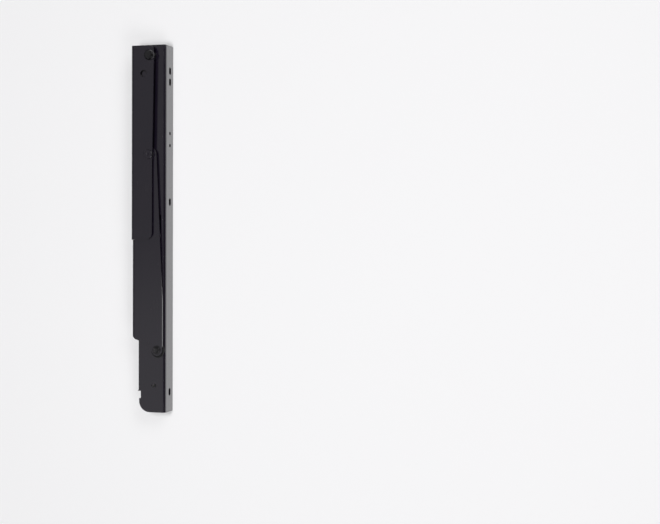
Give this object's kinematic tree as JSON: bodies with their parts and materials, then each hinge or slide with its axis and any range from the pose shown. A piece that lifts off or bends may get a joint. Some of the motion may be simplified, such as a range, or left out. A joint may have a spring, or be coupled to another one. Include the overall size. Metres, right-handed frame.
{
  "type": "folding-arm cabinet slide bracket",
  "caption": "Long angle rail with a hinged flanged arm and a brace whose foot slides along the rail, to swing out and carry a board beside a cabinet wall.",
  "frame": {"origin": "on the table plane, midway along the rail and midway between the arm's outer side and the rail's outer side, with the bracket lying folded", "axes": "+Y along the rail towards the end with the main pivot, +X out of the rail's screwed side face, +Z out of the plates towards the rivet heads"},
  "size_m": [0.0334, 0.35, 0.026],
  "materials": {
    "black_coated_steel": "semi-gloss black powder coat",
    "blackened_rivet": "blackened steel, slight gloss",
    "spring_steel": "dull spring steel",
    "black_nylon": "moulded nylon, matte"
  },
  "bodies": {
    "rail": {"mounting_rail": "black_coated_steel", "main_pivot_rivet": "blackened_rivet", "main_pivot_spacer": "black_coated_steel", "main_pivot_washer": "black_nylon", "main_spring_washer": "spring_steel"},
    "arm": {"swing_arm": "black_coated_steel", "middle_pivot_rivet": "blackened_rivet", "middle_pivot_washer": "black_nylon", "glide_stud": "blackened_rivet", "glide_pad": "black_nylon"},
    "brace": {"brace_link": "black_coated_steel", "foot_rivet": "blackened_rivet"},
    "shoe": {"slide_shoe": "black_nylon", "shoe_pin": "blackened_rivet", "shoe_back_plate": "black_coated_steel"}
  },
  "joints": [
    {"name": "arm_pivot", "type": "hinge", "parent": "rail", "child": "arm", "pos_m": [0.00235, 0.1648, 0.0228], "axis": [0, 0, -1], "range_deg": [0, 90]},
    {"name": "brace_pivot", "type": "hinge", "parent": "arm", "child": "brace", "pos_m": [0.00125, 0.0708, 0.0202], "axis": [0, 0, 1], "range_deg": [0, 120.4]},
    {"name": "foot_slide", "type": "slide", "parent": "rail", "child": "shoe", "axis": [0, 1, 0], "range_m": [0, 0.1247]}
  ],
  "couplings": [
    {"joint": "brace_pivot", "follows": "arm_pivot", "ratio": 1.3377},
    {"joint": "foot_slide", "follows": "arm_pivot", "m_per_rad": 0.079373}
  ]
}
